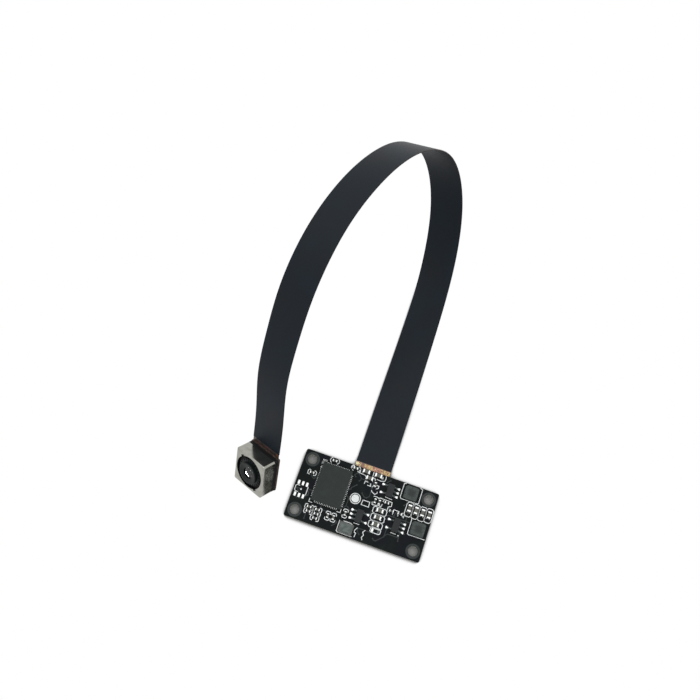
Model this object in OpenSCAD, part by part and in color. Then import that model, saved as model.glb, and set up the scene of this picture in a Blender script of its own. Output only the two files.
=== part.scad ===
// Camera module: a small circuit board, a flat flexible ribbon and an autofocus camera head.
// The board lies flat with its parts up. The origin is the centre of its underside,
// +X runs along its long side, +Y towards the ribbon and +Z out of the side with the parts.

/* [Circuit board] */
// Length of the board
board_l = 32; // [29:0.5:38]
// Width of the board
board_w = 16; // [15:0.5:20]
// Thickness of the board
board_t = 1.2; // [0.8:0.1:1.6]
// Radius of the board's corners
board_corner_r = 0.4; // [0.2:0.1:1]
// Diameter of the four fixing holes, for M2 screws
hole_d = 2.2; // [1.8:0.1:2.4]
// Distance from the middle of a fixing hole to the board's edges
hole_inset = 2; // [1.8:0.1:2.6]
// Thickness of the soldered copper pads
pad_t = 0.04; // [0.03:0.01:0.08]

/* [Image processor] */
// Size of the processor along the board
processor_l = 7; // [6:0.1:7.4]
// Size of the processor across the board
processor_w = 9; // [8:0.1:9.2]
// Height of the processor's moulded body
processor_h = 0.75; // [0.5:0.05:1]
// Distance from one lead to the next
lead_pitch = 0.4; // [0.36:0.01:0.5]
// Width of one lead
lead_w = 0.2; // [0.14:0.01:0.26]
// Thickness of the lead frame
lead_t = 0.12; // [0.08:0.01:0.2]

/* [Power parts] */
// Side of the square power inductors
inductor_s = 3; // [2.5:0.1:3.2]
// Height of the power inductors
inductor_h = 1.2; // [0.8:0.1:1.5]
// Width of a regulator's body
regulator_w = 1.6; // [1.4:0.1:1.8]
// Length of a regulator's body
regulator_l = 2.9; // [2.7:0.1:3]
// Height of a regulator's body
regulator_h = 1.05; // [0.8:0.05:1.2]
// Distance over the tips of a regulator's leads
regulator_span = 3; // [2.6:0.1:3.2]
// Length of the crystal
crystal_l = 3.2; // [2.8:0.1:3.4]
// Width of the crystal
crystal_w = 2.5; // [2:0.1:2.6]

/* [Chip parts] */
// Length of the large chip capacitors
chip_l = 1.6; // [1.4:0.05:1.7]
// Width of the large chip capacitors
chip_w = 0.8; // [0.6:0.05:0.9]
// Height of the large chip capacitors
chip_h = 0.8; // [0.5:0.05:0.9]
// Length of the small chip parts
small_l = 1; // [0.9:0.05:1.05]
// Width of the small chip parts
small_w = 0.5; // [0.4:0.02:0.54]
// Height of the small chip parts
small_h = 0.4; // [0.3:0.05:0.5]

/* [Ribbon] */
// Width of the ribbon
ribbon_w = 8.4; // [7:0.1:8.4]
// Thickness of the ribbon's amber core
core_t = 0.1; // [0.08:0.01:0.14]
// Thickness of each black shield film
film_t = 0.04; // [0.03:0.01:0.06]
// Length of bare core at each end of the ribbon
bare_end = 1.2; // [0.8:0.1:2]

/* [Camera head] */
// Width of the square camera head
head_w = 8.9; // [8.6:0.05:9.2]
// Radius of the head's upright edges
head_corner_r = 0.5; // [0.3:0.05:0.7]
// Thickness of the steel plate on the back of the head
plate_t = 0.15; // [0.1:0.05:0.25]
// Thickness of the sensor's circuit board
sensor_board_t = 0.5; // [0.4:0.05:0.7]
// Height of the sensor holder
holder_h = 0.8; // [0.7:0.05:1.2]
// Thickness of the infrared filter glass
filter_t = 0.2; // [0.15:0.01:0.3]
// Thickness of the actuator base's flange
flange_t = 0.15; // [0.1:0.05:0.3]
// Height of the shield can
can_h = 3.25; // [3.1:0.05:3.6]
// Wall of the shield can
can_wall = 0.2; // [0.15:0.01:0.22]
// Diameter of the round window in the shield can
window_d = 7.9; // [7.5:0.05:8]
// Diameter of the lens barrel
barrel_d = 6.6; // [6.3:0.05:6.8]
// Distance that the lens stands out of the can at the end of its travel
lens_out = 0.7; // [0.6:0.05:0.85]
// Distance that the lens moves to focus
focus_travel = 0.25; // [0.15:0.01:0.3]
// Height of the corner magnets
magnet_h = 2.2; // [1.9:0.05:2.25]
// Thickness of the two leaf springs
spring_t = 0.05; // [0.03:0.01:0.06]

/* [Hidden] */
$fn = 48;

// ---- Places on the board ----

// The layout is drawn on a board of this length and width, and spreads with the real one.
layout = [32, 16];
function place(p) = [p[0] * board_l / layout[0], p[1] * board_w / layout[1]];

board_top = board_t;
pad_top = board_top + pad_t;
hole_places = [
    for (x = [-1, 1], y = [-1, 1]) [x * (board_l / 2 - hole_inset), y * (board_w / 2 - hole_inset)]
];

processor_place = place([-7.8, 1.7]);
crystal_place = place([-1.75, -6.25]);
upper_inductor_place = place([9.8, 5.95]);
lower_inductor_place = place([13.65, -1.15]);

// A regulator has three leads on one side and two on the other: side 1 puts the three at +X.
upper_regulator_place = [place([5.05, 5.05]), 1];
middle_regulator_place = [place([0.2, -2.7]), -1];
lower_regulator_place = [place([8.7, -2]), 1];
regulator_places = [upper_regulator_place, middle_regulator_place, lower_regulator_place];

// Each chip part is [place, turn].
output_row = [for (i = [0:3]) [place([10.45 + i * 1.55, 2.7]), 90]];
input_column = [for (y = [-0.05, -1.65, -3.25]) [place([4.25, y]), 0]];
ribbon_pair = [for (x = [-1.4, 1.5]) [place([x, 7.35]), 0]];
large_chips = concat(output_row, input_column, ribbon_pair, [[place([-0.25, 6.15]), 0]]);

small_capacitors = [
    for (p = [
        [-13.1, 3.1, 0], [-9.05, 7.35, 0], [-3.95, 7.35, 0],
        [-11.1, -4.4, 0], [-9.1, -4.4, 0], [-11, -5.4, 0],
        [-6.5, -4.9, 90], [-5.15, -4.9, 90], [-2.95, -3.15, 90]
    ]) [place(p), p[2]]
];
resistors = [
    for (p = [
        [-9.1, -5.4, 0], [-9.1, -6.4, 0], [1.45, 5.25, 90], [2.55, 1.75, 90],
        [3.55, 1.75, 90], [5.2, 2.2, 0], [6.75, 0.8, 0], [8.7, 0.8, 0]
    ]) [place(p), p[2]]
];
// Footprints with nothing soldered on them.
bare_large_chips = [[place([4.7, -4.55]), 0]];
bare_footprint_place = place([-14.2, -1.3]);
bare_footprint_pitch = 0.98;
bare_footprint_rows = 2.8;

// ---- Ribbon ----

// The ribbon leaves the middle of the board's thickness, this far from its centre.
ribbon_x = -0.2;
ribbon_exit = [ribbon_x, board_w / 2, board_t / 2];
// Where the ribbon meets the camera head, and how the head is turned about X, Y and Z.
head_exit = [-24, 3.4, 8.53];
head_turn = [55, -22, -21];
// The ribbon's first and last stretch are straight, and this long.
straight_end = 9.4;

// The ribbon's route, in order: x, y and z of a point on its middle line, then how far its
// width leans along Y and along Z for each millimetre along X.
ribbon_route = [
    [-0.2, 27, 1, 0, 0.1],
    [-0.2, 36, 1.1, 0, 0.2],
    [-0.3, 45.5, 1.5, 0, 0.3],
    [-0.5, 55, 2.5, 0, 0.4],
    [-1.3, 64, 5, 0, 0.4],
    [-3, 72.5, 9.5, -0.05, 0.45],
    [-6, 78, 16.5, -0.1, 0.5],
    [-10, 78.5, 25.5, -0.2, 0.5],
    [-14.5, 73.5, 32.5, -0.25, 0.45],
    [-18.2, 66, 37, -0.25, 0.45],
    [-21.4, 57.5, 39, -0.25, 0.4],
    [-24, 48, 39.3, -0.25, 0.4],
    [-25.6, 39, 37.5, -0.25, 0.35],
    [-26.5, 30.5, 33.7, -0.25, 0.35],
    [-26.5, 23, 28.5, -0.3, 0.4],
    [-26.5, 15.5, 22.3, -0.3, 0.45]
];

function cosines(a) = [cos(a[0]), cos(a[1]), cos(a[2])];
function sines(a) = [sin(a[0]), sin(a[1]), sin(a[2])];
// The head's own X and Y directions after its turn.
function head_x(c, s) = [c[1] * c[2], c[1] * s[2], -s[1]];
function head_y(c, s) = [s[0] * s[1] * c[2] - c[0] * s[2], s[0] * s[1] * s[2] + c[0] * c[2], s[0] * c[1]];
head_across = head_x(cosines(head_turn), sines(head_turn));
head_up = head_y(cosines(head_turn), sines(head_turn));
head_lean = [head_across[1] / head_across[0], head_across[2] / head_across[0]];

function row(point, lean) = [point[0], point[1], point[2], lean[0], lean[1]];
ribbon_points = concat(
    [row(ribbon_exit, [0, 0]), row(ribbon_exit + [0, straight_end, 0], [0, 0.02])],
    ribbon_route,
    [row(head_exit + straight_end * head_up, head_lean), row(head_exit, head_lean)]
);
ribbon_last = len(ribbon_points) - 1;
// One more point past each end makes the curve start and stop at its end points.
ribbon_controls = concat(
    [2 * ribbon_points[0] - ribbon_points[1]],
    ribbon_points,
    [2 * ribbon_points[ribbon_last] - ribbon_points[ribbon_last - 1]]
);

// A smooth curve through the controls, and its slope, at u from 0 to ribbon_last.
function blend(p, t) = (
    pow(1 - t, 3) * p[0] + (3 * pow(t, 3) - 6 * t * t + 4) * p[1]
    + (-3 * pow(t, 3) + 3 * t * t + 3 * t + 1) * p[2] + pow(t, 3) * p[3]) / 6;
function slope(p, t) = (
    -pow(1 - t, 2) * p[0] + (3 * t * t - 4 * t) * p[1]
    + (-3 * t * t + 2 * t + 1) * p[2] + t * t * p[3]) / 2;
function stretch(u) = min(floor(u), ribbon_last - 1);
function controls_at(u) = [for (k = [0:3]) ribbon_controls[stretch(u) + k]];
function curve_at(u) = blend(controls_at(u), u - stretch(u));
function slope_at(u) = slope(controls_at(u), u - stretch(u));
function place_of(v) = [v[0], v[1], v[2]];
function unit(v) = v / norm(v);
function across(lean, along) = unit(lean - (lean * along) * along);

ribbon_rings = 24;
bare_u = bare_end / straight_end;
core_stations = concat(
    [0, bare_u],
    [for (i = [1:ribbon_rings]) i * ribbon_last / (ribbon_rings + 1)],
    [ribbon_last - bare_u, ribbon_last]
);
film_stations = [for (i = [1:len(core_stations) - 2]) core_stations[i]];

// Eight points round the ribbon's section between two heights from its middle.
function ring(u, low, high) =
    let (
        at = curve_at(u),
        along = unit(place_of(slope_at(u))),
        side = across([1, at[3], at[4]], along),
        out = cross(side, along)
    )
    concat(
        [for (a = [-3, -1, 1, 3]) place_of(at) + a * ribbon_w / 6 * side + high * out],
        [for (a = [3, 1, -1, -3]) place_of(at) + a * ribbon_w / 6 * side + low * out]
    );

module ribbon_layer(stations, low, high) {
    rings = len(stations);
    side_count = 8;
    points = [for (u = stations) each ring(u, low, high)];
    // Both broad faces are split along the same diagonals, so the layers stay parallel.
    sides = [
        for (r = [0:rings - 2], j = [0:side_count - 1])
            let (
                a = r * side_count + j,
                b = r * side_count + (j + 1) % side_count,
                c = b + side_count,
                d = a + side_count
            )
            each j < side_count / 2 ? [[a, b, c], [a, c, d]] : [[a, b, d], [b, c, d]]
    ];
    last = (rings - 1) * side_count;
    caps = [for (q = [[0, 1, 6, 7], [1, 2, 5, 6], [2, 3, 4, 5]])
        each [[q[3], q[2], q[1], q[0]], [for (j = q) last + j]]];
    polyhedron(points, concat(sides, caps));
}

// ---- Levels in the camera head, from the back of its plate ----

sensor_board_z = plate_t;
flex_level = sensor_board_z + sensor_board_t / 2;
holder_z = sensor_board_z + sensor_board_t;
base_z = holder_z + holder_h;
can_z = base_z + flange_t;
head_h = can_z + can_h;
ceiling_z = head_h - can_wall;
can_inner = head_w - 2 * can_wall;
can_inner_r = head_corner_r - can_wall / 2;
plug_h = 0.25;
seat_z = can_z + plug_h;
drive_z = seat_z + spring_t;
drive_top = drive_z + magnet_h;
frame_z = drive_top + spring_t;

slip = 0.02;
running_gap = 0.15;
fitted = can_inner - 2 * slip;
carrier_wall = 0.28;
carrier_r = barrel_d / 2 + slip + carrier_wall;
carrier_flange_r = can_inner / 2 - 2 * running_gap;
carrier_flange_h = 0.3;
base_hole_r = barrel_d / 2 + 0.2;
filter_l = 6.1;
filter_w = 5.1;
ledge = 0.55;
sensor_l = 5.8;
sensor_w = 4.6;
sensor_t = 0.25;

barrel_z = seat_z + 0.1;
barrel_top = head_h + lens_out - focus_travel;
aperture_r = 1.3;
rim_wall = 0.7;
nose_r = barrel_d / 2 - rim_wall;
nose_h = 0.75;

terminal_w = 0.8;
terminal_x = [-2.2, 2.2];
terminal_t = 0.12;

// ---- Shared shapes ----

// A plate with rounded corners, standing on z = 0.
module rounded_plate(l, w, h, r) {
    linear_extrude(h) rounded_outline(l, w, r);
}

module rounded_outline(l, w, r) {
    square([l - 2 * r, w], center = true);
    square([l, w - 2 * r], center = true);
    for (x = [-1, 1], y = [-1, 1])
        translate([x * (l / 2 - r), y * (w / 2 - r)]) circle(r);
}

// A block centred on X and Y, standing on z = 0.
module block(l, w, h) {
    translate([-l / 2, -w / 2, 0]) cube([l, w, h]);
}

// Moves to a place on the board at a height.
module on_board(p, z = 0, turn = 0) {
    translate([p[0], p[1], z]) rotate(turn) children();
}

module at_regulators() {
    for (r = regulator_places) on_board(r[0], pad_top, r[1] > 0 ? 0 : 180) children();
}

// Moves from the camera head's own place to where it lies.
module in_head() {
    translate(head_exit) rotate(head_turn) translate([0, -head_w / 2, -flex_level]) children();
}

// ---- Board ----

module circuit_board() {
    color("#1b2122")
    difference() {
        rounded_plate(board_l, board_w, board_t, board_corner_r);
        for (p = hole_places)
            translate([p[0], p[1], -1]) cylinder(d = hole_d, h = board_t + 2);
        for (p = lead_pad_places)
            translate([p[0], p[1], -pad_t]) block(lead_pad_l, lead_pad_w, 2 * pad_t);
    }
}

// Pads for the lead to the host, let into the underside.
lead_pad_l = 1.2;
lead_pad_w = 2;
lead_pad_pitch = 1.8;
lead_pad_row = place([5.5, -2.2]);
lead_pad_places = [for (i = [0:3]) lead_pad_row + [i * lead_pad_pitch, 0]];

module lead_pads() {
    color("#c9cfcf")
    for (p = lead_pad_places) translate([p[0], p[1], 0]) block(lead_pad_l, lead_pad_w, pad_t);
}

// The share of a chip part's length that each soldered end takes.
end_share = 0.22;

// A pad under each end of a chip part, standing out past it.
module chip_pads(l, w) {
    past = 0.2 * w;
    pad_l = end_share * l + past;
    for (s = [-1, 1]) translate([s * (l / 2 + past - pad_l / 2), 0, 0])
        block(pad_l, w * 1.05, pad_t);
}

module solder_pads() {
    color("#dfe4e2") {
        for (c = concat(large_chips, bare_large_chips))
            on_board(c[0], board_top, c[1]) chip_pads(chip_l, chip_w);
        for (c = concat(small_capacitors, resistors))
            on_board(c[0], board_top, c[1]) chip_pads(small_l, small_w);
        for (r = regulator_places) on_board(r[0], board_top, r[1] > 0 ? 0 : 180)
            for (l = regulator_lead_places)
                translate([l[0] * (regulator_span / 2 + 0.05), l[1], 0]) block(0.8, 0.6, pad_t);
        for (p = [upper_inductor_place, lower_inductor_place], s = [-1, 1])
            on_board(p, board_top)
                translate([s * inductor_terminal_x, 0, 0]) block(1, inductor_s * 0.9, pad_t);
        for (x = [-1, 1], y = [-1, 1]) on_board(crystal_place, board_top)
            translate([x * (crystal_l - 1) / 2, y * (crystal_w - 0.9) / 2, 0])
                block(1.1, 1, pad_t);
        for (i = [-1:1], s = [-1, 1]) on_board(bare_footprint_place, board_top)
            translate([i * bare_footprint_pitch, s * bare_footprint_rows / 2, 0])
                block(0.55, 0.95, pad_t);
        on_board(processor_place, board_top) {
            block(processor_l - 2.4, processor_w - 2.4, pad_t);
            processor_lead_row(processor_pad_l, processor_pad_past, pad_t);
        }
    }
}

// ---- Image processor ----

lead_room = 1.4;
processor_pad_l = 0.95;
processor_pad_past = 0.35;
processor_lead_l = 0.45;
function lead_count(side) = floor((side - lead_room) / lead_pitch) + 1;

// A row of leads on each side, reaching in from the edge and a little past it.
module processor_lead_row(reach, past, h) {
    along = [processor_w, processor_l];
    across_size = [processor_l, processor_w];
    for (k = [0, 1], s = [0, 180]) rotate(k * 90 + s)
        for (i = [0:lead_count(along[k]) - 1])
            translate([
                across_size[k] / 2 + past - reach / 2,
                (i - (lead_count(along[k]) - 1) / 2) * lead_pitch, 0
            ]) block(reach, lead_w, h);
}

module processor_leads() {
    color("#c2c8c8") on_board(processor_place, pad_top) {
        processor_lead_row(processor_lead_l, 0, lead_t);
        block(processor_l - 2.4, processor_w - 2.4, lead_t);
    }
}

module image_processor() {
    mark_d = 0.5;
    color("#343a3b") on_board(processor_place, pad_top + lead_t)
    difference() {
        block(processor_l, processor_w, processor_h);
        translate([-processor_l / 2 + 0.9, processor_w / 2 - 0.9, processor_h - 0.03])
            cylinder(d = mark_d, h = 1);
    }
}

// ---- Regulators ----

regulator_pitch = 0.95;
regulator_lead_places = [[1, -regulator_pitch], [1, 0], [1, regulator_pitch],
    [-1, -regulator_pitch], [-1, regulator_pitch]];
regulator_lead_t = 0.13;
regulator_clear = 0.08;

// A moulded body, wider at the line where its mould parts.
module regulator_body(place) {
    draft = 0.06;
    middle = regulator_clear + (regulator_h - regulator_clear) / 2;
    half = regulator_w / 2;
    color("#2b3031") on_board(place[0], pad_top, place[1] > 0 ? 0 : 180)
        rotate([90, 0, 0]) translate([0, 0, -regulator_l / 2]) linear_extrude(regulator_l)
            polygon([
                [-half + draft, regulator_clear], [half - draft, regulator_clear],
                [half, middle], [half - draft, regulator_h],
                [-half + draft, regulator_h], [-half, middle]
            ]);
}

module upper_regulator() { regulator_body(upper_regulator_place); }
module middle_regulator() { regulator_body(middle_regulator_place); }
module lower_regulator() { regulator_body(lower_regulator_place); }

// A gull-wing lead from the body's side down to its pad.
module regulator_lead() {
    t = regulator_lead_t;
    start = regulator_w / 2;
    top = regulator_clear + (regulator_h - regulator_clear) / 2 + t / 2;
    shoulder = start + 0.08;
    heel = start + 0.22;
    tip = regulator_span / 2;
    rotate([90, 0, 0]) translate([0, 0, -0.2]) linear_extrude(0.4) polygon([
        [start, top - t], [shoulder, top - t], [heel, 0], [tip, 0],
        [tip, t], [heel + t * 0.9, t], [shoulder + t, top], [start, top]
    ]);
}

module regulator_leads() {
    color("#c6cccc") at_regulators()
        for (l = regulator_lead_places)
            translate([0, l[1], 0]) rotate(l[0] > 0 ? 0 : 180) regulator_lead();
}

// ---- Inductors and crystal ----

inductor_terminal_x = inductor_s / 2 - 0.4;
inductor_terminal_t = 0.08;

// A ferrite drum between two flanges, with its winding under grey resin.
module inductor(p) {
    flange = 0.28;
    waist = inductor_s - 0.25;
    body_h = inductor_h - inductor_terminal_t;
    color("#5a6362") on_board(p, pad_top + inductor_terminal_t) {
        rounded_plate(inductor_s, inductor_s, flange, 0.3);
        translate([0, 0, flange]) rounded_plate(waist, waist, body_h - 2 * flange, 0.5);
        translate([0, 0, body_h - flange]) rounded_plate(inductor_s, inductor_s, flange, 0.45);
    }
}

module upper_inductor() { inductor(upper_inductor_place); }
module lower_inductor() { inductor(lower_inductor_place); }

module inductor_terminals() {
    color("#c6cccc")
    for (p = [upper_inductor_place, lower_inductor_place], s = [-1, 1]) on_board(p, pad_top)
        translate([s * inductor_terminal_x, 0, 0]) block(0.8, inductor_s * 0.8, inductor_terminal_t);
}

crystal_base_h = 0.35;

module crystal_base() {
    color("#3d3a36") on_board(crystal_place, pad_top)
        rounded_plate(crystal_l, crystal_w, crystal_base_h, 0.15);
}

// A welded lid: a thin flange with round corners, and a raised middle.
module crystal_can() {
    flange_h = 0.12;
    rim = 0.3;
    color("#6d7573") on_board(crystal_place, pad_top + crystal_base_h) {
        rounded_plate(crystal_l - 0.2, crystal_w - 0.2, flange_h, 0.6);
        rounded_plate(crystal_l - 0.2 - 2 * rim, crystal_w - 0.2 - 2 * rim, 0.35, 0.45);
    }
}

// ---- Chip parts ----

module chip_body(l, w, h) {
    block(l * (1 - 2 * end_share), w, h);
}

// The two soldered ends, a hair larger than the body between them.
module chip_ends(l, w, h) {
    for (s = [-1, 1]) translate([s * l * (1 - end_share) / 2, 0, 0])
        block(l * end_share, w + 0.02, h + 0.01);
}

module at_chips(chips) {
    for (c = chips) on_board(c[0], pad_top, c[1]) children();
}

module capacitor_bodies() { color("#5d5a4c") at_chips(large_chips) chip_body(chip_l, chip_w, chip_h); }
module capacitor_ends() { color("#dfe4e2") at_chips(large_chips) chip_ends(chip_l, chip_w, chip_h); }

module small_capacitor_bodies() {
    color("#5d5a4c") at_chips(small_capacitors) chip_body(small_l, small_w, small_h);
}
module small_capacitor_ends() {
    color("#dfe4e2") at_chips(small_capacitors) chip_ends(small_l, small_w, small_h);
}

module resistor_bodies() { color("#23282a") at_chips(resistors) chip_body(small_l, small_w, small_h); }
module resistor_ends() { color("#dfe4e2") at_chips(resistors) chip_ends(small_l, small_w, small_h); }

// ---- Ribbon layers ----

film_gap = 0.005;
film_low = core_t / 2 + film_gap;

module ribbon_core() {
    color("#b38a45") ribbon_layer(core_stations, -core_t / 2, core_t / 2);
}

module inner_shield_film() {
    color("#23282b") ribbon_layer(film_stations, film_low, film_low + film_t);
}

module outer_shield_film() {
    color("#23282b") ribbon_layer(film_stations, -film_low - film_t, -film_low);
}

// ---- Camera head: sensor side ----

module stiffener_plate() {
    color("#a9a9a2") in_head() rounded_plate(head_w - 0.2, head_w - 0.2, plate_t, head_corner_r);
}

module sensor_board() {
    color("#26241f") in_head() translate([0, 0, sensor_board_z])
        rounded_plate(head_w, head_w, sensor_board_t, 0.2);
}

module image_sensor() {
    color("#3b3a4a") in_head() translate([0, 0, holder_z]) block(sensor_l, sensor_w, sensor_t);
}

module sensor_holder() {
    color("#1c1c1e") in_head() translate([0, 0, holder_z])
    difference() {
        rounded_plate(head_w - 0.1, head_w - 0.1, holder_h, 0.3);
        translate([0, 0, -1]) block(filter_l + 0.7, filter_w + 0.7, 1 + holder_h - filter_t - 0.2);
        translate([0, 0, -1]) block(filter_l - 2 * ledge, filter_w - 2 * ledge, holder_h + 2);
        translate([0, 0, holder_h - filter_t]) block(filter_l + 0.1, filter_w + 0.1, 1);
        terminal_grooves();
    }
}

module infrared_filter() {
    color("#8fb0b8", 0.5) in_head() translate([0, 0, base_z - filter_t])
        block(filter_l, filter_w, filter_t);
}

// ---- Camera head: focus actuator ----

module actuator_base() {
    color("#1c1c1e") in_head()
    difference() {
        translate([0, 0, base_z]) {
            rounded_plate(head_w, head_w, flange_t, head_corner_r);
            rounded_plate(fitted, fitted, flange_t + plug_h, can_inner_r);
        }
        cylinder(r = base_hole_r, h = head_h);
        terminal_grooves();
    }
}

// Two tabs that carry the coil current down to the sensor's board.
module actuator_terminals() {
    color("#c9a24a") in_head()
        for (x = terminal_x)
            translate([x, (terminal_t - head_w) / 2, holder_z])
                block(terminal_w, terminal_t, holder_h + flange_t - slip);
}

module terminal_grooves() {
    for (x = terminal_x) translate([x, -head_w / 2, -1])
        block(terminal_w + 2 * slip, 2 * (terminal_t + slip), head_h);
}

module arc_band(r, w, from, to) {
    intersection() {
        difference() {
            circle(r + w / 2);
            circle(r - w / 2);
        }
        polygon([[0, 0], for (a = [from, (from + to) / 2, to]) 3 * r * [cos(a), sin(a)]]);
    }
}

// A leaf spring: a ring for the lens carrier, four corner pads and a bent arm to each.
module leaf_spring() {
    ring_r = barrel_d / 2 + 0.3;
    arm_r = can_inner / 2 - 0.18;
    arm_start = -30;
    arm_end = 47;
    linear_extrude(spring_t) {
        difference() {
            circle(ring_r + 0.1);
            circle(ring_r - 0.15);
        }
        for (k = [0:3]) rotate(k * 90) {
            arc_band(arm_r, 0.1, arm_start, arm_end);
            rotate(arm_start) translate([ring_r, -0.06]) square([arm_r - ring_r + 0.05, 0.12]);
            rotate(45) translate([arm_r - 0.04, -0.3]) square([0.5, 0.6]);
            intersection() {
                rounded_outline(fitted, fitted, can_inner_r);
                rotate(45) translate([4.3, -1.2]) square([2, 2.4]);
            }
        }
    }
}

module lower_spring() { color("#b9b39a") in_head() translate([0, 0, seat_z]) leaf_spring(); }
module upper_spring() { color("#b9b39a") in_head() translate([0, 0, drive_top]) leaf_spring(); }

// A wedge-shaped magnet in each corner, with its flat face to the coil.
module focus_magnets() {
    face = can_inner / 2 + 0.05;
    corner = can_inner / sqrt(2) - 0.1;
    back = corner - 0.35;
    color("#8d9092") in_head() translate([0, 0, drive_z])
        for (k = [0:3]) rotate(45 + k * 90) linear_extrude(magnet_h)
            polygon([[face, face - corner], [back, back - corner], [back, corner - back],
                [face, corner - face]]);
}

module spacer_frame() {
    color("#1c1c1e") in_head() translate([0, 0, frame_z])
    difference() {
        rounded_plate(fitted, fitted, ceiling_z - frame_z, can_inner_r);
        translate([0, 0, -1]) cylinder(d = window_d + 0.1, h = 3);
    }
}

// The window has two small notches, at these angles, where the can was turned into place.
notch_angles = [127, 305];
notch_r = 4.3;
notch_w = 0.9;

// The drawn can: its front edge is rounded, and a round window shows the lens.
module shield_can() {
    bend = [[0, 0.42], [0.03, 0.25], [0.12, 0.1], [0.3, 0]];
    color("#b4b2a8") in_head()
    difference() {
        hull() {
            translate([0, 0, can_z]) can_step(0, can_h - bend[0][1]);
            for (b = bend) translate([0, 0, head_h - b[1] - 0.01]) can_step(b[0], 0.01);
        }
        translate([0, 0, can_z - 1])
            rounded_plate(can_inner, can_inner, 1 + can_h - can_wall, can_inner_r);
        cylinder(d = window_d, h = head_h + 1);
        for (a = notch_angles) rotate(a)
            translate([0, -notch_w / 2, ceiling_z - 0.1]) cube([notch_r, notch_w, 1]);
    }
}

module can_step(inset, h) {
    rounded_plate(head_w - 2 * inset, head_w - 2 * inset, h, head_corner_r, $fn = 32);
}

// ---- Camera head: the part that moves to focus ----

module lens_carrier() {
    color("#202224") in_head() translate([0, 0, drive_z])
        rotate_extrude() polygon([
            [barrel_d / 2 + slip, 0], [carrier_flange_r, 0],
            [carrier_flange_r, carrier_flange_h], [carrier_r, carrier_flange_h],
            [carrier_r, magnet_h - carrier_flange_h],
            [carrier_flange_r, magnet_h - carrier_flange_h],
            [carrier_flange_r, magnet_h], [barrel_d / 2 + slip, magnet_h]
        ]);
}

module focus_coil() {
    color("#b06a3a") in_head() translate([0, 0, drive_z + carrier_flange_h])
    difference() {
        cylinder(r = carrier_flange_r - 0.02, h = magnet_h - 2 * carrier_flange_h);
        translate([0, 0, -1]) cylinder(r = carrier_r + slip, h = magnet_h + 2);
    }
}

// Seats for the glass, from the front: [radius, level of the shoulder above it].
front_seat = [1.9, barrel_top - 0.5];
middle_seat = [2.35, barrel_top - 1.1];
rear_seat = [2.75, barrel_top - 1.85];

module lens_barrel() {
    outer_r = barrel_d / 2;
    shoulder = barrel_top - nose_h;
    teeth = 26;
    tooth_gap = 0.34;
    tooth_deep = 0.45;
    tooth_h = 0.22;
    color("#17181a") in_head()
    difference() {
        rotate_extrude() polygon([
            [outer_r, barrel_z], [outer_r, shoulder], [nose_r, shoulder + 0.1],
            [nose_r, barrel_top - 0.08], [nose_r - 0.08, barrel_top], [nose_r - 0.35, barrel_top],
            [aperture_r, barrel_top - 0.2], [aperture_r, barrel_top - 0.28],
            [front_seat[0] - 0.3, front_seat[1]], front_seat,
            [front_seat[0], middle_seat[1]], middle_seat,
            [middle_seat[0], rear_seat[1]], rear_seat, [rear_seat[0], barrel_z]
        ]);
        for (k = [0:teeth - 1]) rotate((k + 0.5) * 360 / teeth)
            translate([outer_r - tooth_deep, -tooth_gap / 2, shoulder + 0.1 - tooth_h])
                cube([1, tooth_gap, tooth_h]);
    }
}

lens_play = 0.02;
front_lens_t = 0.35;
middle_lens_t = 0.3;
rear_lens_t = 0.35;
// Each lens's optical radius, then how far its front and its back bulge forward.
front_optics = [1.5, 0.27, 0.1];
middle_optics = [1.7, -0.1, -0.12];
rear_optics = [2.1, -0.12, 0.1];

// Points on a shallow dome from the axis out to the optical radius.
function dome(r, level, sag) = [for (i = [0:6]) [r * i / 6, level + sag * (1 - pow(i / 6, 2))]];
function backwards(list) = [for (i = [len(list) - 1:-1:0]) list[i]];

// A lens with a flat rim that hangs under its seat.
module lens(seat, t, optics) {
    rim = seat[0] - lens_play;
    in_head() rotate_extrude() polygon(concat(
        dome(optics[0], seat[1], optics[1]),
        [[rim, seat[1]], [rim, seat[1] - t]],
        backwards(dome(optics[0], seat[1] - t, optics[2]))
    ));
}

module front_lens() { color("#9fb4c4", 0.5) lens(front_seat, front_lens_t, front_optics); }
module middle_lens() { color("#9fb4c4", 0.5) lens(middle_seat, middle_lens_t, middle_optics); }
module rear_lens() { color("#9fb4c4", 0.5) lens(rear_seat, rear_lens_t, rear_optics); }

module lens_spacer(seat, t, next) {
    difference() {
        translate([0, 0, next[1]]) cylinder(r = seat[0] - lens_play, h = seat[1] - t - next[1]);
        cylinder(r = seat[0] - 0.35, h = head_h);
    }
}

module lens_spacers() {
    color("#101112") in_head() {
        lens_spacer(front_seat, front_lens_t, middle_seat);
        lens_spacer(middle_seat, middle_lens_t, rear_seat);
    }
}

module lens_retainer() {
    color("#101112") in_head() translate([0, 0, rear_seat[1] - rear_lens_t - 0.25])
    difference() {
        cylinder(r = rear_seat[0] - lens_play, h = 0.25);
        translate([0, 0, -1]) cylinder(r = rear_seat[0] - 0.55, h = 2);
    }
}

circuit_board();
solder_pads();
lead_pads();
image_processor();
processor_leads();
upper_regulator();
middle_regulator();
lower_regulator();
regulator_leads();
upper_inductor();
lower_inductor();
inductor_terminals();
crystal_base();
crystal_can();
capacitor_bodies();
capacitor_ends();
small_capacitor_bodies();
small_capacitor_ends();
resistor_bodies();
resistor_ends();
ribbon_core();
outer_shield_film();
inner_shield_film();
stiffener_plate();
sensor_board();
image_sensor();
sensor_holder();
infrared_filter();
actuator_base();
actuator_terminals();
lower_spring();
focus_magnets();
upper_spring();
spacer_frame();
shield_can();
lens_carrier();
focus_coil();
lens_barrel();
front_lens();
middle_lens();
rear_lens();
lens_spacers();
lens_retainer();
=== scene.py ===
"""Dresses a camera module: a small circuit board, a flat flexible ribbon and an autofocus head."""

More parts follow.
